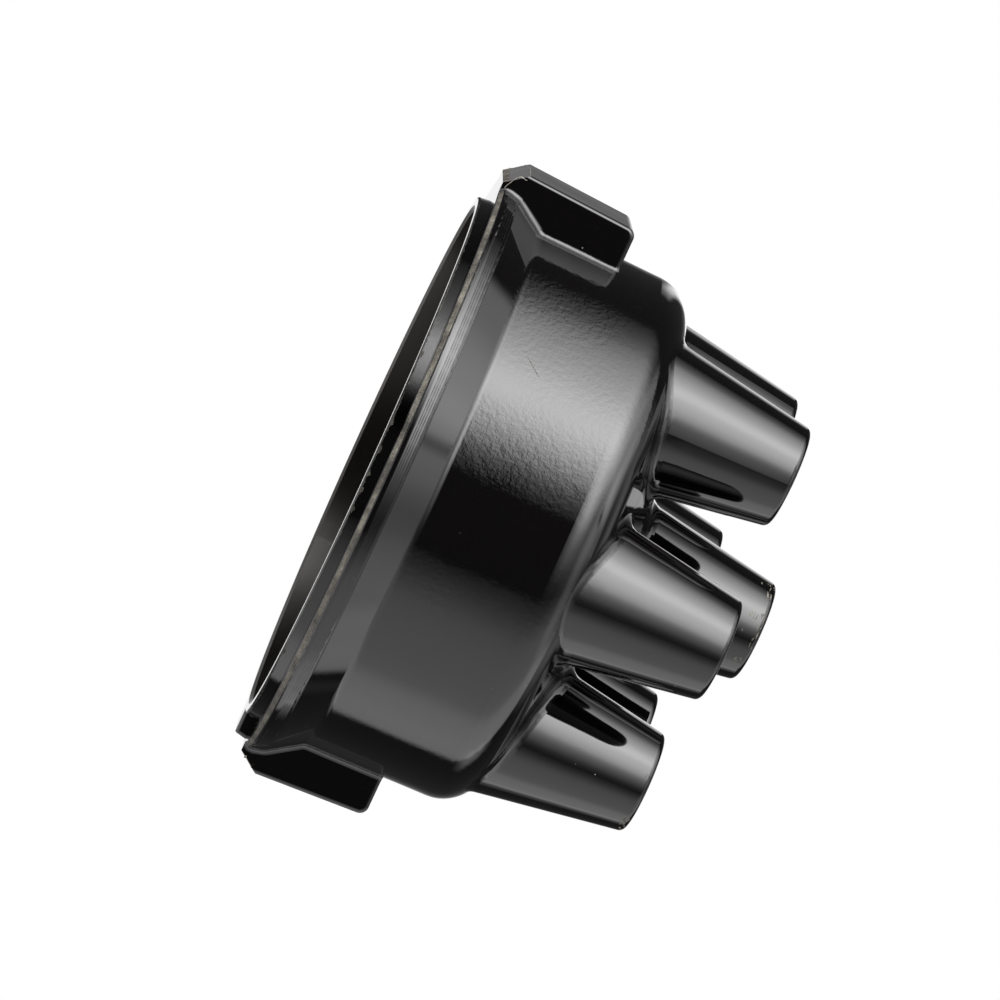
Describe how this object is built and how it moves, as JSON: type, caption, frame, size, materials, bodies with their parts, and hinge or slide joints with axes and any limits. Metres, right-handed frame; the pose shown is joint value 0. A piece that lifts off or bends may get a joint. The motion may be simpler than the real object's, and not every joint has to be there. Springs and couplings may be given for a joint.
{
  "type": "distributor cap",
  "caption": "Round black moulded distributor cap with a ring of tapered lead towers round a taller coil tower, side lugs for spring clips, and an open mouth with a locating tang.",
  "frame": {"origin": "on the axis, in the plane of the lip's end at the open mouth", "axes": "+Z from the open mouth to the lead towers, +X to the clip lug over the locating tang"},
  "size_m": [0.0876, 0.083, 0.0578],
  "materials": {
    "moulding": "glossy black phenolic moulding",
    "terminal_metal": "dull drawn brass",
    "carbon": "matt pressed carbon"
  },
  "bodies": {
    "root": {"cap_shell": "moulding", "terminal_1": "terminal_metal", "terminal_2": "terminal_metal", "terminal_3": "terminal_metal", "terminal_4": "terminal_metal", "terminal_5": "terminal_metal", "terminal_6": "terminal_metal", "centre_terminal": "terminal_metal", "carbon_button": "carbon"}
  },
  "joints": []
}
